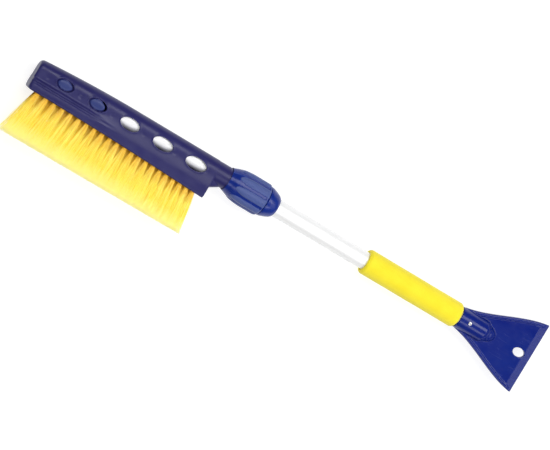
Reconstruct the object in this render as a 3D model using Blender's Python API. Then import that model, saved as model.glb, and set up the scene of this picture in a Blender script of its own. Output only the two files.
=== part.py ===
"""Telescopic snow broom with an ice scraper, modelled as the separate pieces it is assembled from.

All sizes below are in the tool's own frame: X runs along the handle from the brush's free end to the
scraper's edge, Y points from the bristles to the spine, Z points out of the windowed face, and the
tube's centreline is Y = Z = 0. The empty tool_axis then sets the whole tool down on the ground plane,
centred on the world's origin.
"""

import math

import bmesh
import bpy

MM = 0.001
SIDES = 32  # facets round the handle's axis
SMOOTH_ANGLE = math.radians(35)
GAP = 0.3 * MM  # between pieces that touch on the real object

# Brush head: a hollow spine that holds the tube, with the bristle block under it
HEAD_LENGTH = 262.5 * MM
SPINE_RADIUS = 15.2 * MM
SPINE_TAPER_END = 140 * MM  # the spine is slimmer from here to the free end
SPINE_TOP_DROP = 5.5 * MM
SPINE_DEPTH_DROP = 2.7 * MM
BLOCK_HALF_DEPTH = 17 * MM
BLOCK_DEPTH_DROP = 1.5 * MM
BLOCK_TOP = -19 * MM
BLOCK_LOW_FREE_END = -29.6 * MM
BLOCK_LOW_SLOPE = 7.5 * MM
BLOCK_SLOPE_POWER = 1.7
BLOCK_CORNER = 2.2 * MM
HEAD_END_ROUND = 3.5 * MM
BORE_RADIUS = 13.4 * MM
BORE_START = 90 * MM
BORE_TIP = 6 * MM
BORE_TIP_RADIUS = 8.0 * MM
BORE_SLIM_RADIUS = 11.8 * MM

WINDOW_COUNT = 5
WINDOW_FIRST = 39.1 * MM
WINDOW_PITCH = 46.6 * MM
WINDOW_PITCH_GAIN = 0.47 * MM
WINDOW_LENGTH = 24 * MM
WINDOW_HEIGHT = 14.6 * MM
WINDOW_LENGTH_GROWTH = 0.065  # each window is this much longer than the one before it
WINDOW_HEIGHT_GROWTH = 0.03
WINDOW_DROP = 3.3 * MM  # of the first window's centre below the spine's axis
WINDOW_DROP_STEP = 0.2 * MM
WINDOW_SIDES = 24
BLIND_WINDOWS = 2  # from the free end: shallow recesses, where the tube never reaches
BLIND_DEPTH = 0.9 * MM

NECK_RADIUS = 14.9 * MM
NECK_END = 316 * MM

# Bristle tufts
TUFTS = 22
TUFT_FIRST = 16 * MM
TUFT_PITCH = 12.45 * MM
TUFT_PITCH_LOSS = 0.0655 * MM  # pitch closes up a little towards the handle
ROW_OFFSETS = (10.5 * MM, 3.5 * MM, -3.5 * MM, -10.5 * MM)
TUFT_HALF_SIDE = 1.5 * MM
TUFT_HOLE_RADIUS = 2.6 * MM
TUFT_HOLE_DEPTH = 11 * MM
TUFT_ROOT_DEPTH = 10.4 * MM
TUFT_HOLE_SIDES = 6
TUFT_MERGE_DROP = 19 * MM  # below the block the tufts have spread enough to touch
TIP_LEVEL = -92.4 * MM
TIP_FREE_END = -1.5 * MM
TIP_HANDLE_END = 261.5 * MM
TIP_SPREAD = 1.62
ROW_HALF_AT_MERGE = 3.4 * MM
ROW_HALF_AT_TIP = 5.2 * MM

# Twist lock on the neck
NUT_START = 281.5 * MM
NUT_END = 337.2 * MM
NUT_RADIUS = 22.9 * MM
NUT_BORE = 15.25 * MM
NUT_THROAT = 13.45 * MM
NUT_COUNTERBORE = 16.3 * MM
NUT_LOBES = 9
NUT_SIDES_PER_LOBE = 4
NUT_GROOVE = 1.6 * MM
NUT_FIRST_GROOVE = math.radians(10)
TAPER_START = 318.4 * MM
TAPER_END = 331.4 * MM
NOSE_START = 337.8 * MM
NOSE_END = 355.8 * MM
NOSE_BORE = 12.6 * MM
SPIGOT_BORE = 13.9 * MM  # of the nose, over the nut's throat
SEAL_START = 344.3 * MM
SEAL_END = 347.7 * MM
SEAL_RADIUS = 14.6 * MM
COLLET_SLIT = 2.0 * MM

# Handle
TUBE_START = 114 * MM
TUBE_END = 692 * MM
TUBE_RADIUS = 12 * MM
TUBE_INNER_RADIUS = 10.8 * MM
SLIP_RADIUS = 12.3 * MM  # bore of every piece that goes over the tube
PLUG_RADIUS = 10.5 * MM
BUSH_RADIUS = 13.1 * MM
BUSH_START = 100.6 * MM
BUSH_END = 111.7 * MM
PIVOT_RADIUS = 6.0 * MM  # of the spigot that turns in the guide bush
PIVOT_HEAD_RADIUS = 7.6 * MM
BUSH_RECESS_RADIUS = 8.1 * MM
GRIP_START = 496 * MM
GRIP_END = 647.5 * MM
GRIP_RADIUS = 17.4 * MM
GRIP_END_ROUND = 4.5 * MM

# Scraper
SOCKET_START = 648.2 * MM
SOCKET_RADIUS = 15 * MM
BLADE_START = 652.2 * MM
TOTAL_LENGTH = 768 * MM
BLADE_HALF_WIDTH = 51.8 * MM
BLADE_HALF_THICKNESS = 2.2 * MM
RIM_HALF_THICKNESS = 3.6 * MM
RIM_WIDTH = 5 * MM
CREASE = 755.5 * MM
EDGE_HALF_THICKNESS = 0.6 * MM
HANG_HOLE_X = 748.8 * MM
HANG_HOLE_LENGTH = 18 * MM
HANG_HOLE_WIDTH = 12 * MM
RIVET_X = 662.8 * MM
RIVET_HEAD_RADIUS = 2.8 * MM
RIVET_SHANK_RADIUS = 1.55 * MM
RIVET_HOLE_RADIUS = 1.85 * MM
RIVET_BORE = 1.1 * MM
RIVET_BASE = SOCKET_RADIUS + GAP
RIVET_HEAD_HEIGHT = 1.1 * MM
RIVET_SHANK_END = 9.0 * MM  # from the axis
PIN_RADIUS = 0.8 * MM
PIN_BALL_RADIUS = 1.4 * MM
CUP_BORE = 8.2 * MM
CUP_HOLE_RADIUS = 2.2 * MM


# ---------------------------------------------------------------- building blocks


def smoothstep(u):
    u = min(max(u, 0.0), 1.0)
    return u * u * (3 - 2 * u)


def mix(a, b, u):
    return a + (b - a) * u


def material(name, color, roughness, metallic=0.0):
    made = bpy.data.materials.new(name)
    made.use_nodes = True
    shader = made.node_tree.nodes["Principled BSDF"]
    shader.inputs["Base Color"].default_value = (*color, 1.0)
    shader.inputs["Roughness"].default_value = roughness
    shader.inputs["Metallic"].default_value = metallic
    return made


def empty(name, parent=None):
    made = bpy.data.objects.new(name, None)
    bpy.context.collection.objects.link(made)
    made.parent = parent
    return made


def piece(name, bm, parent, finish=None):
    """An object from a finished bmesh, its faces turned outwards and its round faces smooth."""
    bmesh.ops.recalc_face_normals(bm, faces=bm.faces)
    mesh = bpy.data.meshes.new(name)
    bm.to_mesh(mesh)
    bm.free()
    mesh.shade_smooth()
    mesh.set_sharp_from_angle(angle=SMOOTH_ANGLE)
    made = bpy.data.objects.new(name, mesh)
    bpy.context.collection.objects.link(made)
    made.parent = parent
    if finish:
        mesh.materials.append(finish)
    return made


def combine(target, bm, operation, name):
    """Adds a Boolean to target. Its other operand is made from bm and stays hidden."""
    helper = piece(name, bm, target.parent)
    helper.hide_render = True
    helper.display_type = "WIRE"
    modifier = target.modifiers.new(name, "BOOLEAN")
    modifier.operation = operation
    modifier.solver = "EXACT"
    modifier.object = helper


def bridge(bm, first, second):
    """Faces between two rings of vertices. A ring of one vertex is a point on the axis."""
    count = max(len(first), len(second))
    for i in range(count):
        j = (i + 1) % count
        corners = [
            first[i % len(first)],
            first[j % len(first)],
            second[j % len(second)],
            second[i % len(second)],
        ]
        bm.faces.new(list(dict.fromkeys(corners)))


def add_turned(bm, profile, sides=SIDES, radius_at=None):
    """A solid of revolution about X from (x, radius) points.

    A profile whose two ends lie on the axis is closed by them, and any other is closed into a ring.
    radius_at(x, radius, angle) may change the radius round the turn, with the angle from +Z to +Y.
    """
    rings = []
    for x, radius in profile:
        if radius == 0:
            rings.append([bm.verts.new((x, 0, 0))])
            continue
        ring = []
        for i in range(sides):
            angle = math.tau * i / sides
            r = radius_at(x, radius, angle) if radius_at else radius
            ring.append(bm.verts.new((x, r * math.sin(angle), r * math.cos(angle))))
        rings.append(ring)
    for first, second in zip(rings, rings[1:]):
        bridge(bm, first, second)
    if profile[0][1] > 0:
        bridge(bm, rings[-1], rings[0])


def turned(profile, sides=SIDES, radius_at=None):
    bm = bmesh.new()
    add_turned(bm, profile, sides, radius_at)
    return bm


def add_loft(bm, sections):
    """A closed body through sections of equal point counts, with flat ends."""
    rings = [[bm.verts.new(point) for point in section] for section in sections]
    for first, second in zip(rings, rings[1:]):
        bridge(bm, first, second)
    bm.faces.new(rings[0])
    bm.faces.new(rings[-1])


def loft(sections):
    bm = bmesh.new()
    add_loft(bm, sections)
    return bm


def oval_prism(centre_x, centre_y, length, width, z_low, z_high, sides):
    """An upright prism with an oval base."""
    sections = []
    for z in (z_low, z_high):
        sections.append([
            (
                centre_x + length / 2 * math.cos(math.tau * i / sides),
                centre_y + width / 2 * math.sin(math.tau * i / sides),
                z,
            )
            for i in range(sides)
        ])
    return loft(sections)


def turned_upright(profile, centre_x, side, sides=16):
    """A solid of revolution about the line x = centre_x, y = 0. Profile points are (height, radius).

    side is 1 for a piece on the front and -1 for its twin on the back.
    """
    bm = turned(profile, sides)
    for vert in bm.verts:
        height, y, x = vert.co
        vert.co = (centre_x + x, y, side * height)
    return bm


# ---------------------------------------------------------------- head


def taper_at(x):
    """1 at the head's free end, falling to 0 where the spine reaches its full size."""
    return max(0.0, 1 - x / SPINE_TAPER_END) ** 2


def spine_top(x):
    return SPINE_RADIUS - SPINE_TOP_DROP * taper_at(x)


def spine_half_depth(x):
    return SPINE_RADIUS - SPINE_DEPTH_DROP * taper_at(x)


def block_half_depth(x):
    return BLOCK_HALF_DEPTH - BLOCK_DEPTH_DROP * taper_at(x)


def block_low(x):
    """Level of the face that the tufts grow from."""
    u = max(x, 0.0) / HEAD_LENGTH
    return BLOCK_LOW_FREE_END - BLOCK_LOW_SLOPE * u**BLOCK_SLOPE_POWER


def head_section(x, inset):
    """Half of the outline from the spine's top to the block's low face, mirrored to the other half."""
    top = spine_top(x) - inset
    side = spine_half_depth(x) - inset
    block = block_half_depth(x) - inset
    low = block_low(x) + inset
    half = [
        (top * math.cos(angle), side * math.sin(angle))
        for angle in (math.pi / 2 * i / 6 for i in range(7))
    ]
    half += [
        (BLOCK_TOP * 0.75, side + 0.3 * MM),
        (BLOCK_TOP, block),
        (low + BLOCK_CORNER, block),
        (low + BLOCK_CORNER * 0.3, block - BLOCK_CORNER * 0.3),
        (low, block - BLOCK_CORNER),
    ]
    other_half = [(y, -z) for y, z in reversed(half[1:])]
    return [(x, y, z) for y, z in half + other_half]


def tuft_x(index):
    """Where a tuft leaves the block. Half indices are the staggered rows' places."""
    return TUFT_FIRST + TUFT_PITCH * index - TUFT_PITCH_LOSS * index * index


def row_indices(row):
    """The second and fourth rows stand in the gaps of the first and third."""
    if row % 2 == 0:
        return [float(i) for i in range(TUFTS)]
    return [i + 0.5 for i in range(TUFTS - 1)]


def window_place(index):
    """Centre x, centre y, length and height of one window."""
    x = WINDOW_FIRST + WINDOW_PITCH * index + WINDOW_PITCH_GAIN * index**2
    y = -(WINDOW_DROP + WINDOW_DROP_STEP * index)
    length = WINDOW_LENGTH * (1 + WINDOW_LENGTH_GROWTH * index)
    height = WINDOW_HEIGHT * (1 + WINDOW_HEIGHT_GROWTH * index)
    return x, y, length, height


def spine_front(x, y):
    """How far the windowed face stands out at a height y near the axis."""
    if y <= 0:
        return spine_half_depth(x)
    return spine_half_depth(x) * math.sqrt(1 - (y / spine_top(x)) ** 2)


def blind_window_cutter(index):
    """An oval prism whose low end follows the spine's curve at the recess's depth."""
    x, y, length, height = window_place(index)
    bm = bmesh.new()
    rings = []
    for share, above in ((1, 8 * MM), (1, -BLIND_DEPTH), (0.65, -BLIND_DEPTH), (0.3, -BLIND_DEPTH)):
        ring = []
        for i in range(WINDOW_SIDES):
            angle = math.tau * i / WINDOW_SIDES
            px = x + share * length / 2 * math.cos(angle)
            py = y + share * height / 2 * math.sin(angle)
            ring.append(bm.verts.new((px, py, spine_front(px, py) + above)))
        rings.append(ring)
    for first, second in zip(rings, rings[1:]):
        bridge(bm, first, second)
    bm.faces.new(rings[-1])
    bmesh.ops.triangulate(bm, faces=[bm.faces.new(rings[0])])
    return bm


def tuft_holes():
    bm = bmesh.new()
    for row, z_row in enumerate(ROW_OFFSETS):
        for index in row_indices(row):
            x = tuft_x(index)
            low = block_low(x)
            sections = []
            for y in (low - 2 * MM, low + TUFT_HOLE_DEPTH):
                sections.append([
                    (
                        x + TUFT_HOLE_RADIUS * math.cos(math.tau * i / TUFT_HOLE_SIDES),
                        y,
                        z_row + TUFT_HOLE_RADIUS * math.sin(math.tau * i / TUFT_HOLE_SIDES),
                    )
                    for i in range(TUFT_HOLE_SIDES)
                ])
            add_loft(bm, sections)
    return bm


def head_body(parent, finish):
    stations = [(0, HEAD_END_ROUND), (1 * MM, HEAD_END_ROUND * 0.35), (HEAD_END_ROUND, 0)]
    stations += [(x * MM, 0) for x in (28, 54, 80, 108, 140, 172, 204, 236, 259)]
    stations.append((HEAD_LENGTH, 1 * MM))
    head = piece("head_body", loft([head_section(x, inset) for x, inset in stations]), parent, finish)

    inside_spine = HEAD_LENGTH - 10 * MM
    neck = turned([(inside_spine, 0), (inside_spine, NECK_RADIUS), (NECK_END, NECK_RADIUS), (NECK_END, 0)])
    combine(head, neck, "UNION", "neck")

    gusset = loft([
        [(x, 0, -half), (x, low, -half + 2 * MM), (x, low, half - 2 * MM), (x, 0, half)]
        for x, low, half in (
            (HEAD_LENGTH - 6 * MM, -23 * MM, 12 * MM),
            (HEAD_LENGTH + 1 * MM, -22 * MM, 11 * MM),
            (HEAD_LENGTH + 13.5 * MM, -15.6 * MM, 6 * MM),
        )
    ])
    combine(head, gusset, "UNION", "neck_gusset")

    bore = turned([
        (BORE_TIP, 0),
        (BORE_TIP, BORE_TIP_RADIUS),
        (BORE_START - 2 * MM, BORE_SLIM_RADIUS),
        (BORE_START, BORE_RADIUS),
        (NECK_END + 5 * MM, BORE_RADIUS),
        (NECK_END + 5 * MM, 0),
    ])
    combine(head, bore, "DIFFERENCE", "spine_bore")

    for index in range(WINDOW_COUNT):
        if index < BLIND_WINDOWS:
            cutter = blind_window_cutter(index)
        else:
            cutter = oval_prism(*window_place(index), 2 * MM, 22 * MM, WINDOW_SIDES)
        combine(head, cutter, "DIFFERENCE", f"window_cut_{index + 1}")

    combine(head, tuft_holes(), "DIFFERENCE", "tuft_hole_cuts")
    return head


def tip_x(index):
    """Where a tuft's tip ends up, spread evenly over the brush's full length."""
    ends = tuft_x(0) - TUFT_PITCH / 2, tuft_x(TUFTS - 1) + TUFT_PITCH / 2
    share = (tuft_x(index) - ends[0]) / (ends[1] - ends[0])
    return mix(TIP_FREE_END, TIP_HANDLE_END, share)


def square(x, y, z, half):
    """Corners of a level square."""
    return [
        (x - half, y, z - half),
        (x + half, y, z - half),
        (x + half, y, z + half),
        (x - half, y, z + half),
    ]


def row_of_two(bm, x, y, z, half):
    """A pair of vertices across the row, at its back and front."""
    return [bm.verts.new((x, y, z + side * half)) for side in (-1, 1)]


def bristle_row(row, parent, finish):
    """One row of tufts: square roots in their holes, spreading into a single fringe below."""
    bm = bmesh.new()
    z_row = ROW_OFFSETS[row]
    indices = row_indices(row)
    edges = [index - 0.5 for index in indices] + [indices[-1] + 0.5]
    reach = TUFT_MERGE_DROP / (BLOCK_LOW_FREE_END - TIP_LEVEL)
    z_merge = z_row * mix(1, TIP_SPREAD, reach)
    z_tip = z_row * TIP_SPREAD
    upper, lower = [], []
    for index in edges:
        x = mix(tuft_x(index), tip_x(index), reach)
        y = block_low(x) - TUFT_MERGE_DROP
        upper.append(row_of_two(bm, x, y, z_merge, ROW_HALF_AT_MERGE))
        lower.append(row_of_two(bm, tip_x(index), TIP_LEVEL, z_tip, ROW_HALF_AT_TIP))
    for i, index in enumerate(indices):
        mouth = [upper[i][0], upper[i + 1][0], upper[i + 1][1], upper[i][1]]
        x = tuft_x(index)
        low = block_low(x)
        rings = [mouth]
        for y in (low - 1 * MM, low + TUFT_ROOT_DEPTH):
            corners = square(x, y, z_row, TUFT_HALF_SIDE)
            rings.append([bm.verts.new(corner) for corner in corners])
        bridge(bm, rings[0], rings[1])
        bridge(bm, rings[1], rings[2])
        bm.faces.new(rings[2])
        bm.faces.new([lower[i][0], lower[i + 1][0], lower[i + 1][1], lower[i][1]])
        for side in (0, 1):
            bm.faces.new([upper[i][side], upper[i + 1][side], lower[i + 1][side], lower[i][side]])
    for end in (0, -1):
        bm.faces.new([upper[end][0], upper[end][1], lower[end][1], lower[end][0]])
    return piece(f"bristle_row_{row + 1}", bm, parent, finish)


# ---------------------------------------------------------------- twist lock


def neck_bush(parent, finish):
    """The sleeve that guides the tube and stops the guide bush, with a flange over the neck's end."""
    return piece("neck_bush", turned([
        (HEAD_LENGTH + 1.5 * MM, SLIP_RADIUS),
        (HEAD_LENGTH + 1.5 * MM, BORE_RADIUS - GAP),
        (NECK_END + GAP, BORE_RADIUS - GAP),
        (NECK_END + GAP, NECK_RADIUS - GAP),
        (NECK_END + 2.1 * MM, NECK_RADIUS - GAP),
        (NECK_END + 2.1 * MM, SLIP_RADIUS),
    ]), parent, finish)


def collet(parent, finish):
    """A split ring, tapered outside, that the nut squeezes onto the tube."""
    start = NECK_END + 2.5 * MM
    ring = piece("collet", turned([
        (start, SLIP_RADIUS),
        (start, NUT_BORE - 0.5 * MM),
        (start + 1 * MM, NUT_BORE - 0.55 * MM),
        (TAPER_END - 0.4 * MM, NUT_THROAT - 0.35 * MM),
        (TAPER_END - 0.4 * MM, SLIP_RADIUS),
    ]), parent, finish)
    half = COLLET_SLIT / 2
    top = 2 * TUBE_RADIUS
    slit = loft([
        [(x, 0, -half), (x, top, -half), (x, top, half), (x, 0, half)]
        for x in (start - 5 * MM, TAPER_END + 5 * MM)
    ])
    combine(ring, slit, "DIFFERENCE", "collet_slit")
    return ring


def lobed_radius(x, radius, angle):
    """Grip lobes on the nut's outside: grooves that deepen towards its front."""
    if radius <= NUT_COUNTERBORE:
        return radius
    pitch = math.tau / NUT_LOBES
    off_groove = abs((angle - NUT_FIRST_GROOVE + pitch / 2) % pitch - pitch / 2)
    in_groove = max(0.0, 1 - off_groove / (pitch / NUT_SIDES_PER_LOBE))
    rise = smoothstep((x - (NUT_START + 10 * MM)) / (14 * MM))
    return radius - NUT_GROOVE * in_groove * rise


def lock_nut(parent, finish):
    outside = [
        (NUT_START, 15.9 * MM),
        (NUT_START + 4.6 * MM, 17.2 * MM),
        (NUT_START + 12.5 * MM, 20.3 * MM),
        (NUT_START + 20 * MM, 22.1 * MM),
        (NUT_START + 29 * MM, NUT_RADIUS),
        (NUT_END - 5 * MM, NUT_RADIUS),
        (NUT_END - 2 * MM, 22.2 * MM),
        (NUT_END, 20.4 * MM),
    ]
    inside = [
        (NUT_END, NUT_COUNTERBORE),
        (TAPER_END + 1 * MM, NUT_COUNTERBORE),
        (TAPER_END + 1 * MM, NUT_THROAT),
        (TAPER_END, NUT_THROAT),
        (TAPER_START, NUT_BORE),
        (NUT_START, NUT_BORE),
    ]
    sides = NUT_LOBES * NUT_SIDES_PER_LOBE
    return piece("lock_nut", turned(outside + inside, sides, lobed_radius), parent, finish)


def nut_nose(parent, finish):
    """The smooth front ring, with a spigot in the nut and a groove for the wiper seal."""
    outside = [
        (NOSE_START, 19.4 * MM),
        (NOSE_START + 1 * MM, 20.6 * MM),
        (NOSE_START + 4.2 * MM, 20.0 * MM),
        (NOSE_START + 10.4 * MM, 17.9 * MM),
        (NOSE_START + 14.6 * MM, 16.0 * MM),
        (NOSE_START + 17 * MM, 14.2 * MM),
        (NOSE_END, 13.2 * MM),
    ]
    inside = [
        (NOSE_END, NOSE_BORE),
        (SEAL_END + GAP, NOSE_BORE),
        (SEAL_END + GAP, SEAL_RADIUS + GAP),
        (SEAL_START - GAP, SEAL_RADIUS + GAP),
        (SEAL_START - GAP, NOSE_BORE),
        (NOSE_START + 1 * MM, NOSE_BORE),
        (NOSE_START, SPIGOT_BORE),
        (TAPER_END + 1.6 * MM, SPIGOT_BORE),
        (TAPER_END + 1.6 * MM, NUT_COUNTERBORE - GAP),
        (NOSE_START, NUT_COUNTERBORE - GAP),
    ]
    return piece("nut_nose", turned(outside + inside), parent, finish)


def wiper_seal(parent, finish):
    """A rubber ring whose lip keeps snow and grit out of the collet."""
    return piece("wiper_seal", turned([
        (SEAL_START, NOSE_BORE),
        (SEAL_START, SEAL_RADIUS),
        (SEAL_END, SEAL_RADIUS),
        (SEAL_END, NOSE_BORE),
        ((SEAL_START + SEAL_END) / 2, SLIP_RADIUS),
    ]), parent, finish)


# ---------------------------------------------------------------- handle


def guide_bush(parent, finish):
    """A ring that runs in the spine's bore. The tube plug's spigot turns in it."""
    recess_end = BUSH_START + 2.4 * MM
    return piece("guide_bush", turned([
        (BUSH_START, BUSH_RECESS_RADIUS),
        (BUSH_START, BUSH_RADIUS),
        (BUSH_END, BUSH_RADIUS),
        (BUSH_END, PIVOT_RADIUS + GAP),
        (recess_end, PIVOT_RADIUS + GAP),
        (recess_end, BUSH_RECESS_RADIUS),
    ]), parent, finish)


def tube_plug(parent, finish):
    """Closes the tube's inner end. Its headed spigot snaps through the guide bush and turns in it."""
    return piece("tube_plug", turned([
        (BUSH_START + GAP, 0),
        (BUSH_START + GAP, PIVOT_HEAD_RADIUS - 0.7 * MM),
        (BUSH_START + 2.0 * MM, PIVOT_HEAD_RADIUS),
        (BUSH_START + 2.1 * MM, PIVOT_RADIUS),
        (BUSH_END + GAP, PIVOT_RADIUS),
        (BUSH_END + GAP, TUBE_RADIUS),
        (TUBE_START - GAP, TUBE_RADIUS),
        (TUBE_START - GAP, PLUG_RADIUS),
        (TUBE_START + 16 * MM, PLUG_RADIUS),
        (TUBE_START + 16 * MM, 0),
    ]), parent, finish)


def rivet_holes(target, radius, name):
    """Two holes, front and back, through a round wall."""
    inner = TUBE_RADIUS / 2
    outer = SOCKET_RADIUS + 5 * MM
    bm = bmesh.new()
    for side in (1, -1):
        pin = turned_upright([(inner, 0), (inner, radius), (outer, radius), (outer, 0)], RIVET_X, side)
        mesh = bpy.data.meshes.new(name)
        pin.to_mesh(mesh)
        pin.free()
        bm.from_mesh(mesh)
        bpy.data.meshes.remove(mesh)
    combine(target, bm, "DIFFERENCE", name)


def tube(parent, finish):
    made = piece("tube", turned([
        (TUBE_START, TUBE_INNER_RADIUS),
        (TUBE_START, TUBE_RADIUS),
        (TUBE_END, TUBE_RADIUS),
        (TUBE_END, TUBE_INNER_RADIUS),
    ]), parent, finish)
    rivet_holes(made, RIVET_HOLE_RADIUS, "tube_rivet_holes")
    return made


def scraper_plug(parent, finish):
    """A cup in the tube's outer end, behind the rivets."""
    made = piece("scraper_plug", turned([
        (RIVET_X - 9 * MM, 0),
        (RIVET_X - 9 * MM, PLUG_RADIUS),
        (TUBE_END - 1 * MM, PLUG_RADIUS),
        (TUBE_END - 1 * MM, CUP_BORE),
        (RIVET_X - 6.5 * MM, CUP_BORE),
        (RIVET_X - 6.5 * MM, 0),
    ]), parent, finish)
    rivet_holes(made, CUP_HOLE_RADIUS, "plug_rivet_holes")
    return made


def foam_grip(parent, finish):
    """A plain sleeve with rounded ends."""
    start = []
    for i in range(4):
        angle = math.pi / 2 * i / 3
        x = GRIP_START + GRIP_END_ROUND * (1 - math.cos(angle))
        start.append((x, GRIP_RADIUS - GRIP_END_ROUND * (1 - math.sin(angle))))
    end = [(GRIP_START + GRIP_END - x, radius) for x, radius in reversed(start)]
    profile = [(GRIP_START, SLIP_RADIUS), *start, *end, (GRIP_END, SLIP_RADIUS)]
    return piece("foam_grip", turned(profile), parent, finish)


# ---------------------------------------------------------------- scraper


def blade_half_width(x):
    """The fan's outline: a long S from the socket to the cutting edge."""
    u = (x - SOCKET_START) / (TOTAL_LENGTH - SOCKET_START)
    return mix(SOCKET_RADIUS, BLADE_HALF_WIDTH, 0.6 * smoothstep(u) + 0.4 * u)


def blade_section(x):
    """Outline across the blade: raised rims along both sides and a flat web between them."""
    past_crease = max(0.0, (x - CREASE) / (TOTAL_LENGTH - CREASE))
    web = mix(BLADE_HALF_THICKNESS, EDGE_HALF_THICKNESS, past_crease)
    rim_fade = smoothstep((TOTAL_LENGTH - x) / (TOTAL_LENGTH - CREASE) - 0.25)
    rim = mix(web + 0.05 * MM, RIM_HALF_THICKNESS, rim_fade)
    width = blade_half_width(x)
    quarter = [
        (width, rim * 0.6),
        (width - 0.8 * MM, rim),
        (width - RIM_WIDTH, rim),
        (width - RIM_WIDTH - 0.8 * MM, web),
    ]
    front = quarter + [(-y, z) for y, z in reversed(quarter)]
    return [(x, y, z) for y, z in front] + [(x, y, -z) for y, z in reversed(front)]


def scraper(parent, finish):
    """Socket and fan blade in one moulding, with the hanging hole through the blade."""
    stations = [mix(BLADE_START, CREASE, i / 10) for i in range(11)]
    stations += [mix(CREASE, TOTAL_LENGTH, 0.4), TOTAL_LENGTH]
    made = piece("scraper", loft([blade_section(x) for x in stations]), parent, finish)
    socket = turned([
        (SOCKET_START, 0),
        (SOCKET_START, SOCKET_RADIUS - 0.4 * MM),
        (SOCKET_START + 0.6 * MM, SOCKET_RADIUS),
        (TUBE_END - 4 * MM, SOCKET_RADIUS),
        (TUBE_END - 0.5 * MM, SOCKET_RADIUS - 0.9 * MM),
        (TUBE_END + 2.5 * MM, SOCKET_RADIUS - 3.2 * MM),
        (TUBE_END + 8 * MM, 10.2 * MM),
        (TUBE_END + 13 * MM, 7.2 * MM),
        (TUBE_END + 16 * MM, 3.5 * MM),
        (TUBE_END + 16.5 * MM, 0),
    ])
    combine(made, socket, "UNION", "scraper_socket")
    mouth = SOCKET_START - 5 * MM
    bore_end = TUBE_END + 1 * MM
    bore = turned([(mouth, 0), (mouth, SLIP_RADIUS), (bore_end, SLIP_RADIUS), (bore_end, 0)])
    combine(made, bore, "DIFFERENCE", "socket_bore")
    hole = oval_prism(HANG_HOLE_X, 0, HANG_HOLE_LENGTH, HANG_HOLE_WIDTH, -10 * MM, 10 * MM, WINDOW_SIDES)
    combine(made, hole, "DIFFERENCE", "hanging_hole")
    rivet_holes(made, RIVET_HOLE_RADIUS, "socket_rivet_holes")
    return made


def blind_rivet(side, label, parent, finish):
    """The rivet's body: a domed head on a hollow shank."""
    top = RIVET_BASE + RIVET_HEAD_HEIGHT
    return piece(f"rivet_{label}", turned_upright([
        (RIVET_SHANK_END, RIVET_BORE),
        (RIVET_SHANK_END, RIVET_SHANK_RADIUS),
        (RIVET_BASE, RIVET_SHANK_RADIUS),
        (RIVET_BASE, RIVET_HEAD_RADIUS),
        (top - 0.6 * MM, RIVET_HEAD_RADIUS - 0.2 * MM),
        (top - 0.1 * MM, RIVET_HEAD_RADIUS - 1.2 * MM),
        (top, RIVET_BORE),
    ], RIVET_X, side), parent, finish)


def rivet_pin(side, label, parent, finish):
    """The mandrel left in the rivet, its ball head behind the shank."""
    ball_top = RIVET_SHANK_END - 0.5 * MM
    pin_top = RIVET_BASE + RIVET_HEAD_HEIGHT - 0.3 * MM
    return piece(f"rivet_pin_{label}", turned_upright([
        (ball_top - PIN_BALL_RADIUS, 0),
        (ball_top - 1.2 * MM, PIN_BALL_RADIUS - 0.1 * MM),
        (ball_top, PIN_BALL_RADIUS),
        (ball_top + 0.1 * MM, PIN_RADIUS),
        (pin_top, PIN_RADIUS),
        (pin_top + 0.1 * MM, 0),
    ], RIVET_X, side), parent, finish)


# ---------------------------------------------------------------- assembly


def main():
    for obj in list(bpy.data.objects):
        bpy.data.objects.remove(obj)

    head_plastic = material("head_plastic", (0.035, 0.03, 0.15), 0.38)
    nut_plastic = material("nut_plastic", (0.02, 0.06, 0.30), 0.32)
    nose_plastic = material("nose_plastic", (0.02, 0.06, 0.28), 0.28)
    scraper_plastic = material("scraper_plastic", (0.015, 0.03, 0.20), 0.22)
    bristle = material("bristle_fibre", (0.95, 0.68, 0.12), 0.6)
    foam = material("foam", (0.95, 0.80, 0.03), 0.85)
    tube_metal = material("tube_aluminium", (0.86, 0.87, 0.88), 0.3, 1.0)
    inner_plastic = material("inner_plastic", (0.12, 0.12, 0.13), 0.45)
    rubber = material("seal_rubber", (0.02, 0.02, 0.02), 0.8)
    rivet_metal = material("rivet_metal", (0.8, 0.8, 0.8), 0.25, 1.0)
    pin_metal = material("rivet_pin_steel", (0.5, 0.5, 0.5), 0.35, 1.0)

    tool_axis = empty("tool_axis")
    tool_axis.location = (
        -(TIP_FREE_END + TOTAL_LENGTH) / 2,
        -(TIP_LEVEL + BLADE_HALF_WIDTH) / 2,
        NUT_RADIUS,
    )
    collet_axis = empty("collet_axis", tool_axis)
    nut_axis = empty("nut_axis", collet_axis)
    guide_axis = empty("guide_axis", tool_axis)
    handle_axis = empty("handle_axis", guide_axis)

    head_body(tool_axis, head_plastic)
    for row in range(len(ROW_OFFSETS)):
        bristle_row(row, tool_axis, bristle)
    neck_bush(tool_axis, inner_plastic)

    collet(collet_axis, inner_plastic)
    lock_nut(nut_axis, nut_plastic)
    nut_nose(nut_axis, nose_plastic)
    wiper_seal(nut_axis, rubber)

    guide_bush(guide_axis, inner_plastic)
    tube_plug(handle_axis, inner_plastic)
    tube(handle_axis, tube_metal)
    foam_grip(handle_axis, foam)
    scraper(handle_axis, scraper_plastic)
    scraper_plug(handle_axis, inner_plastic)
    for side, label in ((1, "front"), (-1, "back")):
        blind_rivet(side, label, handle_axis, rivet_metal)
        rivet_pin(side, label, handle_axis, pin_metal)


main()
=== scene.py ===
import math

import bmesh
import bpy
import numpy as np
from mathutils import Matrix, Vector


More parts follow.
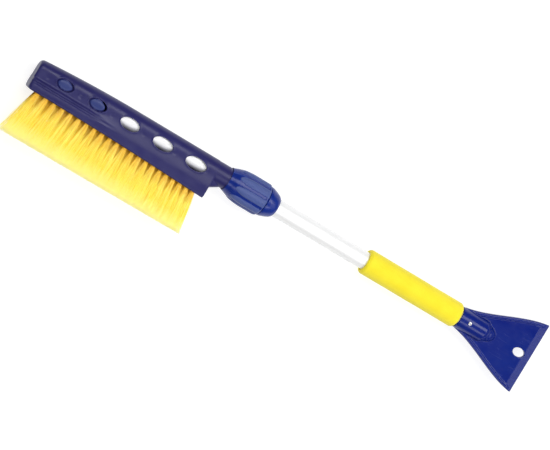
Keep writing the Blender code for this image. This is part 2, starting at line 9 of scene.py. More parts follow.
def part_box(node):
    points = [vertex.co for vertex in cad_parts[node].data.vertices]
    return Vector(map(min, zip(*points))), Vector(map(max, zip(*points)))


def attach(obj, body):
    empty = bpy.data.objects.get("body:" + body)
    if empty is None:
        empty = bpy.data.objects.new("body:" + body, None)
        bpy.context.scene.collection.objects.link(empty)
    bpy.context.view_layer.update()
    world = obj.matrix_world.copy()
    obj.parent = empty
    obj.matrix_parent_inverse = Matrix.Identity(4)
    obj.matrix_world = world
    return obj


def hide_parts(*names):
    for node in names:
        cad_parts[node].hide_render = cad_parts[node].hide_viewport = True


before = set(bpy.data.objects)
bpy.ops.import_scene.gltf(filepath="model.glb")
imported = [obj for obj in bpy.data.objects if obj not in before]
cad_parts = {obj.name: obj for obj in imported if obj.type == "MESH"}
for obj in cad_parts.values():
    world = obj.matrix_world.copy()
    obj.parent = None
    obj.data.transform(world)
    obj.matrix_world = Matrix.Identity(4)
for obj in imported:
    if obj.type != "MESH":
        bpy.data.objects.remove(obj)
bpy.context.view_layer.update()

# The looks of the telescopic snow broom. Shapes are worked out in the tool's own frame, as the design
# has it: x from the head's free end along the handle, y from the bristles to the spine, z out of the
# windowed face, with the tube's centreline at y = z = 0. ORIGIN moves them to the row's frame.

MM = 0.001
SEED = 7


def box_size(node):
    low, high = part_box(node)
    return high - low


TUBE_LOW, TUBE_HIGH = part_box("tube")
ORIGIN = Vector((
    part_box("head_body")[0].x,
    (TUBE_LOW.y + TUBE_HIGH.y) / 2,
    (TUBE_LOW.z + TUBE_HIGH.z) / 2,
))


def span(node):
    """Where a node starts and ends along the handle, in the tool's frame."""
    low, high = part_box(node)
    return low.x - ORIGIN.x, high.x - ORIGIN.x


# Brush head
NECK_END = span("head_body")[1]
NECK_LENGTH = 53.5 * MM
HEAD_LENGTH = NECK_END - NECK_LENGTH
SPINE_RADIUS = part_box("head_body")[1].y - ORIGIN.y
SPINE_TAPER_END = 140 * MM
SPINE_TOP_DROP = 5.5 * MM
SPINE_DEPTH_DROP = 2.7 * MM
BLOCK_HALF_DEPTH = box_size("head_body").z / 2
BLOCK_DEPTH_DROP = 1.5 * MM
BLOCK_LOW_FREE_END = -29.6 * MM
BLOCK_LOW_SLOPE = 7.5 * MM
BLOCK_SLOPE_POWER = 1.7
BLOCK_CORNER = 2.2 * MM
HEAD_END_ROUND = 5.0 * MM
NECK_RADIUS = 14.9 * MM
BORE_RADIUS = 13.4 * MM
BORE_START = 90 * MM

WINDOW_COUNT = 5
WINDOW_FIRST = 39.1 * MM
WINDOW_PITCH = 46.6 * MM
WINDOW_PITCH_GAIN = 0.47 * MM
WINDOW_LENGTH = 24 * MM
WINDOW_HEIGHT = 14.6 * MM
WINDOW_LENGTH_GROWTH = 0.065
WINDOW_HEIGHT_GROWTH = 0.03
WINDOW_DROP = 3.3 * MM
WINDOW_DROP_STEP = 0.2 * MM
BLIND_WINDOWS = 2
LIP_RADIUS = 0.9 * MM
SHOULDER_LINES = (  # level, height and half width of the ridges and of the groove between them
    (-15.9 * MM, 0.65 * MM, 1.0 * MM),
    (-18.6 * MM, -1.2 * MM, 1.1 * MM),
    (-21.6 * MM, 0.6 * MM, 1.0 * MM),
)
SHOULDER_FADE = (75 * MM, 125 * MM)  # the ridges and the groove melt away between these
CRISP_STEP = (12.4 * MM, 3.4 * MM)  # where the step out to the block starts, and its width
MELTED_STEP = (4 * MM, 19 * MM)
RECESS_FLOOR = (  # share of a blind window's half size, and depth: dome, moat and wall
    (0, 0.4 * MM), (0.25, 0.43 * MM), (0.45, 0.53 * MM), (0.62, 0.75 * MM),
    (0.76, 1.1 * MM), (0.81, 1.6 * MM), (0.86, 3.4 * MM), (1.0, 3.4 * MM),
)
DOME_EDGE = 0.86
MARK_LEVEL = -5.8 * MM
MARK_WIDTH = 5 * MM
MARK_DEPTH = 0.25 * MM
DEEP_MARK, DEEP_MARK_DEPTH = 1, 0.7 * MM
GUSSET = (  # x, lowest level and half depth of the web under the neck
    (HEAD_LENGTH - 6 * MM, -23.5 * MM, 12 * MM),
    (HEAD_LENGTH + 1 * MM, -22 * MM, 11.5 * MM),
    (HEAD_LENGTH + 13.5 * MM, -15.6 * MM, 6 * MM),
)
GUSSET_CORNER = 3 * MM
HEAD_VOXEL = 0.74 * MM

# Bristles
TUFTS = 22
TUFT_FIRST = 16 * MM
TUFT_PITCH = 12.45 * MM
TUFT_PITCH_LOSS = 0.0655 * MM
ROW_OFFSETS = (10.5 * MM, 3.5 * MM, -3.5 * MM, -10.5 * MM)
TUFT_HOLE_RADIUS = 2.6 * MM
TUFT_HOLE_DEPTH = 11 * MM
TIP_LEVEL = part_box("bristle_row_1")[0].y - ORIGIN.y
TIP_FREE_END, TIP_HANDLE_END = span("bristle_row_1")
TIP_SPREAD = 1.62
ROW_HALF_AT_TIP = 5.2 * MM
STRANDS_PER_TUFT = 90
STRAND_RADIUS = 0.21 * MM
OUTSIDE_ROWS = (0, 3)
# Painted light: how strongly the outside and inside rows glow at the root; the glow rises to full further
# out.
ROOT_PAINTED_GLOW_OUTSIDE, ROOT_PAINTED_GLOW_INSIDE = 0.75, 0.05
STRAND_SIDES = 4
TUFT_ROOT_RADIUS = 2.4 * MM
STRAND_BOW = (0.9 * MM, 0, 0.6 * MM)
RIPPLE, RIPPLE_RATE = 0.16 * MM, 17
FAN_POWER = 1.05
TIP_OVERLAP = 1.35  # how far a tuft's tips reach into its neighbours'
TIP_SCATTER = (1.2 * MM, 0.7 * MM, 0.5 * MM)
STRAND_STEPS = 8

# Twist nut and nose
NUT_START, NUT_END = span("lock_nut")
NUT_RADIUS = box_size("lock_nut").z / 2
NUT_BORE = 15.25 * MM
NUT_THROAT = 13.45 * MM
NUT_COUNTERBORE = 16.3 * MM
NUT_LOBES = 9
NUT_FIRST_GROOVE = math.radians(10)
PAD_HEIGHT = 1.5 * MM
PAD_HALF_ANGLE = math.radians(14.8)
PAD_CROWN = 0.8 * MM
PAD_START = NUT_START + 10.5 * MM
PAD_ARCH = 15 * MM
PAD_RIBS = 90
RIB_HEIGHT = 0.22 * MM
PAD_EDGE = 1.3 * MM
NOSE_START = NUT_END + 0.6 * MM
NOSE_END = span("nut_nose")[1]
NOSE_BORE = 12.6 * MM

# Handle
TUBE_START, TUBE_END = span("tube")
TUBE_RADIUS = box_size("tube").z / 2
TUBE_WALL = 1.2 * MM
SLIP_RADIUS = 12.3 * MM
GRIP_START, GRIP_END = span("foam_grip")
GRIP_RADIUS = box_size("foam_grip").z / 2
GRIP_END_ROUND = 5.0 * MM

# Scraper
SOCKET_START, TOTAL_LENGTH = span("scraper")
SOCKET_RADIUS = box_size("scraper").z / 2
BLADE_START = SOCKET_START + 4 * MM
BLADE_HALF_WIDTH = box_size("scraper").y / 2
BLADE_HALF_THICKNESS = 2.2 * MM
RIM_HALF_THICKNESS = 3.6 * MM
RIM_WIDTH = 5 * MM
CREASE = TOTAL_LENGTH - 12.5 * MM
CREASE_RUN = 16 * MM
CREASE_HEIGHT = 0.8 * MM
EDGE_HALF_THICKNESS = 0.6 * MM
HANG_HOLE_X = TOTAL_LENGTH - 19.2 * MM
HANG_HOLE_LENGTH = 18 * MM
HANG_HOLE_WIDTH = 12 * MM
RIVET_X = SOCKET_START + 14.6 * MM
SCRAPER_VOXEL = 0.62 * MM

# Studio. The camera stands above the broom and leans towards the brush and a little to the spine.
LEAN_TO_BRUSH = math.radians(17)
LEAN_TO_SPINE = math.radians(1.5)
CAMERA_ROLL = math.radians(30.7)
CAMERA_DISTANCE = 2.9
VIEW_WIDTH = 0.7047
AIM_ALONG = 365.8 * MM  # from the head's free end
AIM_RIGHT, AIM_UP = 8.6 * MM, 17.8 * MM  # where that point stands in the view, from its middle
FLOOR_GLOW = 0.8
WORLD_LIGHT = 0.12
SOFTBOXES = (  # name, place, size, power
    ("key", (0.60, 0.72, 1.60), (3.4, 0.75), 34),
    ("fill", (0.60, -0.90, 1.50), (3.2, 0.6), 18),
    ("edge", (1.90, 0.00, 1.30), (0.8, 0.9), 4),
)


# ---------------------------------------------------------------- mesh helpers


def smoothstep(u):
    u = np.clip(u, 0.0, 1.0)
    return u * u * (3 - 2 * u)


def mix(a, b, u):
    return a + (b - a) * u


def object_from(name, bm, finish=None):
    """A smooth-shaded object in the row's frame from a bmesh in the tool's frame."""
    bmesh.ops.recalc_face_normals(bm, faces=bm.faces)
    bmesh.ops.translate(bm, verts=bm.verts, vec=ORIGIN)
    mesh = bpy.data.meshes.new(name)
    bm.to_mesh(mesh)
    bm.free()
    mesh.shade_smooth()
    made = bpy.data.objects.new(name, mesh)
    bpy.context.scene.collection.objects.link(made)
    if finish:
        mesh.materials.append(finish)
    return made


def bridge(bm, first, second):
    """Faces between two rings of vertices. A ring of one vertex is a point on the axis."""
    count = max(len(first), len(second))
    for i in range(count):
        j = (i + 1) % count
        corners = [
            first[i % len(first)],
            first[j % len(first)],
            second[j % len(second)],
            second[i % len(second)],
        ]
        bm.faces.new(list(dict.fromkeys(corners)))


def loft(sections, closed_path=False):
    """A body through sections of equal point counts, with its ends capped or joined into a ring."""
    bm = bmesh.new()
    rings = [[bm.verts.new(point) for point in section] for section in sections]
    for first, second in zip(rings, rings[1:]):
        bridge(bm, first, second)
    if closed_path:
        bridge(bm, rings[-1], rings[0])
    else:
        bm.faces.new(rings[0])
        bm.faces.new(rings[-1])
    return bm


def turned(profile, sides=96, radius_at=None):
    """A solid of revolution about the tool's axis from (x, radius) points, with the angle from +Z to +Y."""
    bm = bmesh.new()
    rings = []
    for x, radius in profile:
        if radius == 0:
            rings.append([bm.verts.new((x, 0, 0))])
            continue
        ring = []
        for i in range(sides):
            angle = math.tau * i / sides
            r = radius_at(x, radius, angle) if radius_at else radius
            ring.append(bm.verts.new((x, r * math.sin(angle), r * math.cos(angle))))
        rings.append(ring)
    for first, second in zip(rings, rings[1:]):
        bridge(bm, first, second)
    if profile[0][1] > 0:
        bridge(bm, rings[-1], rings[0])
    return bm


def curve_points(points, per_span=6):
    """Points along a smooth curve through the given ones (Catmull-Rom)."""
    padded = [points[0], *points, points[-1]]
    made = []
    for p0, p1, p2, p3 in zip(padded, padded[1:], padded[2:], padded[3:]):
        for step in range(per_span):
            u = step / per_span
            made.append(tuple(
                0.5 * (
                    2 * b + (c - a) * u
                    + (2 * a - 5 * b + 4 * c - d) * u**2 + (3 * b - a - 3 * c + d) * u**3
                )
                for a, b, c, d in zip(p0, p1, p2, p3)
            ))
    made.append(points[-1])
    return made


def arc(centre, radius, start_deg, end_deg, steps):
    """Profile points (x, radius) round a fillet."""
    return [
        (
            centre[0] + radius * math.cos(math.radians(mix(start_deg, end_deg, i / steps))),
            centre[1] + radius * math.sin(math.radians(mix(start_deg, end_deg, i / steps))),
        )
        for i in range(steps + 1)
    ]


def closed_bead(points, radius, sides=10):
    """A round bead that follows points and closes on itself."""
    sections = []
    for i, point in enumerate(points):
        direction = (Vector(points[(i + 1) % len(points)]) - Vector(points[i - 1])).normalized()
        side = direction.cross(Vector((0, 0, 1))).normalized()
        up = side.cross(direction)
        section = []
        for k in range(sides):
            angle = math.tau * k / sides
            section.append(Vector(point) + (side * math.cos(angle) + up * math.sin(angle)) * radius)
        sections.append(section)
    return loft(sections, closed_path=True)


def oval_prism(centre_x, centre_y, length, width, z_low, z_high, sides=64):
    return loft([
        [
            (
                centre_x + length / 2 * math.cos(math.tau * i / sides),
                centre_y + width / 2 * math.sin(math.tau * i / sides),
                z,
            )
            for i in range(sides)
        ]
        for z in (z_low, z_high)
    ])


def merged(parts):
    """One bmesh that holds several."""
    whole = bmesh.new()
    for part in parts:
        mesh = bpy.data.meshes.new("part")
        part.to_mesh(mesh)
        part.free()
        whole.from_mesh(mesh)
        bpy.data.meshes.remove(mesh)
    return whole


def combine(target, bm, operation, name):
    helper = object_from(name, bm)
    modifier = target.modifiers.new(name, "BOOLEAN")
    modifier.operation = operation
    modifier.solver = "EXACT"
    modifier.object = helper


def bake_modifiers(obj):
    """Replaces the object's mesh by what its modifiers make of it."""
    graph = bpy.context.evaluated_depsgraph_get()
    mesh = bpy.data.meshes.new_from_object(obj.evaluated_get(graph))
    helpers = [m.object for m in obj.modifiers if m.type == "BOOLEAN"]
    obj.modifiers.clear()
    old = obj.data
    obj.data = mesh
    bpy.data.meshes.remove(old)
    for helper in helpers:
        bpy.data.objects.remove(helper)


def mould(obj, voxel):
    """Fuses a body's shapes and rounds every edge a little, as an injection mould leaves them."""
    remesh = obj.modifiers.new("remesh", "REMESH")
    remesh.mode = "VOXEL"
    remesh.voxel_size = voxel
    remesh.use_smooth_shade = True
    smooth = obj.modifiers.new("smooth", "SMOOTH")
    smooth.factor = 0.5
    smooth.iterations = 2
    bake_modifiers(obj)
    obj.data.shade_smooth()


# ---------------------------------------------------------------- materials

PLASTIC_IOR = 1.42
FLOW_TINT = 0.22
HEAD_COLOR, HEAD_WORN = (0.012, 0.010, 0.098), (0.07, 0.07, 0.24)
# Painted highlight: the clearer blue laid on the domes of the blind windows, for the light caught inside
# them.
DOME_PAINTED_HIGHLIGHT = (0.025, 0.045, 0.20)
NUT_COLOR, NUT_WORN = (0.002, 0.018, 0.21), (0.05, 0.10, 0.42)
# Painted highlight: the pale grey-blue that the grip pads are mixed towards.
PAD_PAINTED_HIGHLIGHT = (0.08, 0.12, 0.32)
SCRAPER_COLOR, SCRAPER_WORN = (0.001, 0.009, 0.17), (0.012, 0.05, 0.30)
FIBRE_SHADES = [(0.0, (0.96, 0.66, 0.05)), (0.35, (1.0, 0.82, 0.10)), (1.0, (1.0, 0.93, 0.24))]
# The root colour is painted shade: the deep amber of the roots where the tufts shade each other.
FIBRE_ROOT_PAINTED_SHADE, FIBRE_TIP = (0.90, 0.42, 0.02), (1.0, 0.95, 0.42)
FOAM_SHADES = [(0.3, (0.92, 0.77, 0.015)), (0.7, (0.97, 0.83, 0.03))]
FOAM_PORE = (0.80, 0.60, 0.01)
TUBE_SHADES = [(0.3, (0.92, 0.925, 0.93)), (0.7, (0.98, 0.98, 0.98))]


class Finish:
    """A Principled material, with small helpers for its procedural nodes."""

    def __init__(self, name, roughness=0.5, metallic=0.0, **sockets):
        self.material = bpy.data.materials.new(name)
        self.material.use_nodes = True
        self.nodes = self.material.node_tree.nodes
        self.links = self.material.node_tree.links
        self.shader = self.nodes["Principled BSDF"]
        self.shader.inputs["Roughness"].default_value = roughness
        self.shader.inputs["Metallic"].default_value = metallic
        for socket, value in sockets.items():
            self.shader.inputs[socket.replace("_", " ")].default_value = value
        self.coordinates = self.nodes.new("ShaderNodeTexCoord").outputs["Object"]

    def mapped(self, scale):
        mapping = self.nodes.new("ShaderNodeMapping")
        mapping.inputs["Scale"].default_value = scale
        self.links.new(self.coordinates, mapping.inputs["Vector"])
        return mapping.outputs["Vector"]

    def noise(self, scale, detail=3.0, roughness=0.55, stretch=(1, 1, 1)):
        node = self.nodes.new("ShaderNodeTexNoise")
        node.inputs["Scale"].default_value = scale
        node.inputs["Detail"].default_value = detail
        node.inputs["Roughness"].default_value = roughness
        self.links.new(self.mapped(stretch), node.inputs["Vector"])
        return node.outputs["Fac"]

    def cells(self, scale):
        node = self.nodes.new("ShaderNodeTexVoronoi")
        node.inputs["Scale"].default_value = scale
        self.links.new(self.mapped((1, 1, 1)), node.inputs["Vector"])
        return node.outputs["Distance"]

    def attribute(self, name):
        node = self.nodes.new("ShaderNodeAttribute")
        node.attribute_name = name
        return node.outputs["Fac"]

    def edges(self, low, high):
        """1 on outer edges, from the mesh's own pointiness, and 0 elsewhere."""
        geometry = self.nodes.new("ShaderNodeNewGeometry")
        return self.ramp(geometry.outputs["Pointiness"], [(low, 0.0), (high, 1.0)])

    def ramp(self, source, stops):
        """Maps a value through grey levels or colours, given as (position, level or colour)."""
        node = self.nodes.new("ShaderNodeValToRGB")
        elements = node.color_ramp.elements
        while len(elements) < len(stops):
            elements.new(0.5)
        for element, (position, value) in zip(elements, stops):
            element.position = position
            element.color = (value, value, value, 1) if isinstance(value, float) else (*value, 1)
        self.links.new(source, node.inputs["Fac"])
        return node.outputs["Color"]

    def blend(self, factor, first, second, blend_type="MIX"):
        """Mixes two colours, each a socket or a fixed colour."""
        node = self.nodes.new("ShaderNodeMix")
        node.data_type = "RGBA"
        node.blend_type = blend_type
        for key, value in (("Factor", factor), ("A", first), ("B", second)):
            socket = next(s for s in node.inputs if s.name == key and (key == "Factor" or s.type == "RGBA"))
            if isinstance(value, bpy.types.NodeSocket):
                self.links.new(value, socket)
            else:
                socket.default_value = value if key == "Factor" else (*value, 1)
        return next(s for s in node.outputs if s.type == "RGBA")

    def math(self, operation, first, second):
        node = self.nodes.new("ShaderNodeMath")
        node.operation = operation
        for i, value in enumerate((first, second)):
            if isinstance(value, bpy.types.NodeSocket):
                self.links.new(value, node.inputs[i])
            else:
                node.inputs[i].default_value = value
        return node.outputs[0]

    def bump(self, height, strength, distance, after=None):
        node = self.nodes.new("ShaderNodeBump")
        node.inputs["Strength"].default_value = strength
        node.inputs["Distance"].default_value = distance
        self.links.new(height, node.inputs["Height"])
        if after:
            self.links.new(after, node.inputs["Normal"])
        return node.outputs["Normal"]

    def set(self, socket, source):
        self.links.new(source, self.shader.inputs[socket])

    def source_of(self, socket):
        """What already feeds one of the shader's sockets."""
        return self.shader.inputs[socket].links[0].from_socket


def moulded_plastic(name, color, light, roughness, grain):
    """Coloured plastic: faint flow marks, a fine mould grain, rubbed edges and hair scratches."""
    finish = Finish(name, roughness, IOR=PLASTIC_IOR)
    flow = finish.noise(26, 4, 0.6, (0.35, 1, 1))
    lightened = tuple(mix(c, l, FLOW_TINT) for c, l in zip(color, light))
    tint = finish.ramp(flow, [(0.3, color), (0.75, lightened)])
    edges = finish.edges(0.52, 0.60)
    patches = finish.ramp(finish.noise(140, 5), [(0.42, 0.15), (0.62, 0.8)])
    worn = finish.math("MULTIPLY", edges, patches)
    finish.set("Base Color", finish.blend(worn, tint, light))
    scratches = finish.ramp(finish.noise(420, 2, 0.5, (0.06, 1, 1)), [(0.60, 0.0), (0.66, 1.0)])
    rubbed = finish.math("MULTIPLY", scratches, 0.04)
    mottled = finish.ramp(finish.noise(60, 4), [(0.3, roughness - 0.05), (0.7, roughness + 0.07)])
    finish.set("Roughness", finish.math("ADD", mottled, rubbed))
    coarse = finish.bump(finish.noise(1500, 2), grain, 0.00010)
    finish.set("Normal", finish.bump(finish.noise(130, 2), 0.12, 0.0004, coarse))
    return finish


def bristle_fibre():
    """Yellow filaments, each its own shade, with painted amber shade towards the root and paler towards the
    tips.

    They give off painted light in their own colour, standing in for light passing through them: the outside
    rows glow from the root, the inside rows only further out.
    """
    finish = Finish("bristle_fibre", 0.42, Specular_IOR_Level=0.3, Emission_Strength=0.25)
    shade = finish.attribute("strand")
    along = finish.attribute("along")
    own = finish.ramp(shade, FIBRE_SHADES)
    # Painted shade: the strands turn amber towards the root, where the tufts shade each other.
    root = finish.ramp(along, [(0.05, 1.0), (0.34, 0.0)])
    tip = finish.ramp(along, [(0.62, 0.0), (0.97, 0.9)])
    streak = finish.ramp(finish.noise(900, 2, 0.5, (1, 0.05, 1)), [(0.35, 0.86), (0.65, 1.0)])
    body = finish.blend(finish.math("MULTIPLY", root, 0.6), own, FIBRE_ROOT_PAINTED_SHADE)
    body = finish.blend(tip, body, FIBRE_TIP)
    color = finish.blend(1.0, body, streak, "MULTIPLY")
    finish.set("Base Color", color)
    # Painted light: the strands glow in their own colour, as much as the per-strand glow attribute says.
    painted_glow = finish.ramp(finish.attribute("painted_glow"), [(0.0, 0.0), (1.0, 1.0)])
    finish.set("Emission Color", finish.blend(1.0, color, painted_glow, "MULTIPLY"))
    return finish.material


def grip_foam():
    """Closed-cell foam: matte, with a skin of fine pores and a slight mottle."""
    finish = Finish("grip_foam", 0.82, Sheen_Weight=0.25, Sheen_Roughness=0.5, Specular_IOR_Level=0.3)
    mottle = finish.noise(55, 4)
    body = finish.ramp(mottle, FOAM_SHADES)
    pores = finish.cells(1900)
    pits = finish.ramp(pores, [(0.05, 0.0), (0.35, 1.0)])
    finish.set("Base Color", finish.blend(finish.math("SUBTRACT", 1.0, pits), body, FOAM_PORE))
    finish.set("Roughness", finish.ramp(mottle, [(0.3, 0.76), (0.7, 0.88)]))
    skin = finish.bump(finish.noise(260, 3), 0.25, 0.0005)
    finish.set("Normal", finish.bump(pits, 0.35, 0.00015, skin))
    return finish.material


def tube_aluminium():
    """Satin anodised tube, near white: drawn lines along it and soft changes of roughness."""
    finish = Finish("tube_aluminium", 0.5, 0.15, Anisotropic=0.3)
    lines = finish.noise(2600, 3, 0.6, (0.02, 1, 1))
    finish.set("Base Color", finish.ramp(lines, TUBE_SHADES))
    clouds = finish.noise(45, 4, 0.6, (0.5, 1, 1))
    finish.set("Roughness", finish.ramp(clouds, [(0.3, 0.36), (0.7, 0.48)]))
    finish.set("Normal", finish.bump(lines, 0.10, 0.00005))
    return finish.material


def nut_plastic_with_pads():
    """The nut's glossy blue, paler on the ribbed pads by a painted highlight, and duller there."""
    finish = moulded_plastic("nut_plastic", NUT_COLOR, NUT_WORN, 0.22, 0.15)
    pad = finish.attribute("pad")
    color = finish.source_of("Base Color")
    # Painted highlight: the pads are mixed most of the way to a pale grey-blue.
    finish.set("Base Color", finish.blend(finish.math("MULTIPLY", pad, 0.7), color, PAD_PAINTED_HIGHLIGHT))
    duller = finish.math("MULTIPLY", pad, 0.12)
    finish.set("Roughness", finish.math("ADD", finish.source_of("Roughness"), duller))
    return finish


def head_plastic_with_recesses():
    """The head's dark blue, with a painted highlight of clearer blue on the domes in the blind windows."""
    finish = moulded_plastic("head_plastic", HEAD_COLOR, HEAD_WORN, 0.36, 0.3)
    # Painted highlight: the domes are mixed towards a clearer blue.
    dome = finish.math("MULTIPLY", finish.attribute("dome"), 0.8)
    finish.set("Base Color", finish.blend(dome, finish.source_of("Base Color"), DOME_PAINTED_HIGHLIGHT))
    return finish


def hidden_plastic():
    finish = Finish("inner_plastic", 0.45)
    flow = finish.noise(90, 3)
    finish.set("Base Color", finish.ramp(flow, [(0.3, (0.05, 0.05, 0.055)), (0.7, (0.09, 0.09, 0.095))]))
    finish.set("Normal", finish.bump(finish.noise(1400, 2), 0.2, 0.0001))
    return finish.material


def seal_rubber():
    finish = Finish("seal_rubber", 0.75)
    dust = finish.noise(300, 4)
    finish.set("Base Color", finish.ramp(dust, [(0.35, (0.015, 0.015, 0.015)), (0.75, (0.05, 0.05, 0.05))]))
    finish.set("Roughness", finish.ramp(dust, [(0.3, 0.65), (0.7, 0.85)]))
    return finish.material


def bright_metal(name, dark, bright, roughness):
    finish = Finish(name, roughness, 1.0)
    wear = finish.noise(700, 4)
    finish.set("Base Color", finish.ramp(wear, [(0.3, dark), (0.7, bright)]))
    finish.set("Roughness", finish.ramp(wear, [(0.3, roughness - 0.06), (0.7, roughness + 0.08)]))
    finish.set("Normal", finish.bump(wear, 0.08, 0.00008))
    return finish.material


# ---------------------------------------------------------------- brush head


def taper_at(x):
    return max(0.0, 1 - x / SPINE_TAPER_END) ** 2


def block_low(x):
    """Level of the face that the tufts grow from."""
    u = max(x, 0.0) / HEAD_LENGTH
    return BLOCK_LOW_FREE_END - BLOCK_LOW_SLOPE * u**BLOCK_SLOPE_POWER


def spine_side(x, y):
    """Half depth of the head's outside at a height y between its top and the block.

    The step from the spine out to the block is a crisp shoulder with a groove between two ridges at the
    free end, and they melt into a smooth flank before the middle of the head.
    """
    top = SPINE_RADIUS - SPINE_TOP_DROP * taper_at(x)
    side = SPINE_RADIUS - SPINE_DEPTH_DROP * taper_at(x)
    block = BLOCK_HALF_DEPTH - BLOCK_DEPTH_DROP * taper_at(x)
    if y >= 0:
        return side * math.sqrt(max(0.0, 1 - (y / top) ** 2))
    melt = float(smoothstep((x - SHOULDER_FADE[0]) / (SHOULDER_FADE[1] - SHOULDER_FADE[0])))
    step_start = mix(CRISP_STEP[0], MELTED_STEP[0], melt)
    step_width = mix(CRISP_STEP[1], MELTED_STEP[1], melt)
    depth = mix(side, block, float(smoothstep((-y - step_start) / step_width)))
    lines = sum(height * math.exp(-(((y - level) / width) ** 2)) for level, height, width in SHOULDER_LINES)
    return depth + lines * (1 - melt)


def head_section(x, inset):
    """The outline round the head at x, drawn in by inset towards its free end."""
    top = SPINE_RADIUS - SPINE_TOP_DROP * taper_at(x)
    low = block_low(x) + inset
    half = []
    for i in range(15):
        angle = math.pi / 2 * i / 14
        half.append((top * math.cos(angle), spine_side(x, top * math.cos(angle))))
    levels = [-y * 1.5 * MM for y in range(1, 8)] + [-11.5 * MM - 0.5 * y * MM for y in range(24)]
    half += [(y, spine_side(x, y)) for y in levels]
    edge = spine_side(x, low)
    half.append((low + BLOCK_CORNER, edge))
    for i in range(1, 5):
        angle = math.pi / 2 * i / 4
        half.append((
            low + BLOCK_CORNER * (1 - math.sin(angle)),
            edge - BLOCK_CORNER * (1 - math.cos(angle)),
        ))
    centre = (top + low) / 2
    scale = 1 - inset / (top - centre)
    narrowed = 1 - inset / BLOCK_HALF_DEPTH
    half = [(centre + (y - centre) * scale if y > low else y, z * narrowed) for y, z in half]
    half[0] = (half[0][0], 0.0)
    other_half = [(y, -z) for y, z in reversed(half[1:])]
    return [(x, y, z) for y, z in half + other_half]


def tuft_x(index):
    return TUFT_FIRST + TUFT_PITCH * index - TUFT_PITCH_LOSS * index * index


def row_indices(row):
    if row % 2 == 0:
        return [float(i) for i in range(TUFTS)]
    return [i + 0.5 for i in range(TUFTS - 1)]


def window_place(index):
    """Centre x, centre y, length and height of one window."""
    x = WINDOW_FIRST + WINDOW_PITCH * index + WINDOW_PITCH_GAIN * index**2
    y = -(WINDOW_DROP + WINDOW_DROP_STEP * index)
    length = WINDOW_LENGTH * (1 + WINDOW_LENGTH_GROWTH * index)
    height = WINDOW_HEIGHT * (1 + WINDOW_HEIGHT_GROWTH * index)
    return x, y, length, height


def window_lip(index):
    """A raised bead round a window, lying on the curved face."""
    x, y, length, height = window_place(index)
    points = []
    for i in range(72):
        angle = math.tau * i / 72
        px = x + (length / 2 + LIP_RADIUS * 0.8) * math.cos(angle)
        py = y + (height / 2 + LIP_RADIUS * 0.8) * math.sin(angle)
        points.append((px, py, spine_side(px, py) - 0.3 * MM))
    return closed_bead(points, LIP_RADIUS)


def blind_window(index):
    """Cutter for a window that is only a recess: a ring-shaped moat round a low dome."""
    x, y, length, height = window_place(index)
    bm = bmesh.new()
    rings = []
    for share, depth in [*RECESS_FLOOR, (1.0, -4 * MM), (0, -4 * MM)]:
        ring = []
        for i in range(64 if share else 1):
            angle = math.tau * i / 64
            px = x + share * length / 2 * math.cos(angle)
            py = y + share * height / 2 * math.sin(angle)
            ring.append(bm.verts.new((px, py, spine_side(px, py) - depth)))
        rings.append(ring)
    for first, second in zip(rings, rings[1:]):
        bridge(bm, first, second)
    return bm


def dome_share(point):
    """Mask of the painted highlight: 1 on the dome of a blind window and 0 on the rest of the head."""
    if point.z <= 0:
        return 0.0
    shares = []
    for index in range(BLIND_WINDOWS):
        x, y, length, height = window_place(index)
        off = math.hypot((point.x - x) / length, (point.y - y) / height) * 2
        shares.append(float(smoothstep((DOME_EDGE - off) / 0.1)))
    return max(shares)


def tuft_holes():
    parts = []
    for row, z_row in enumerate(ROW_OFFSETS):
        for index in row_indices(row):
            x = tuft_x(index)
            low = block_low(x)
            parts.append(loft([
                [
                    (
                        x + TUFT_HOLE_RADIUS * math.cos(math.tau * i / 16),
                        y,
                        z_row + TUFT_HOLE_RADIUS * math.sin(math.tau * i / 16),
                    )
                    for i in range(16)
                ]
                for y in (low - 3 * MM, low + TUFT_HOLE_DEPTH * 0.6)
            ]))
    return merged(parts)


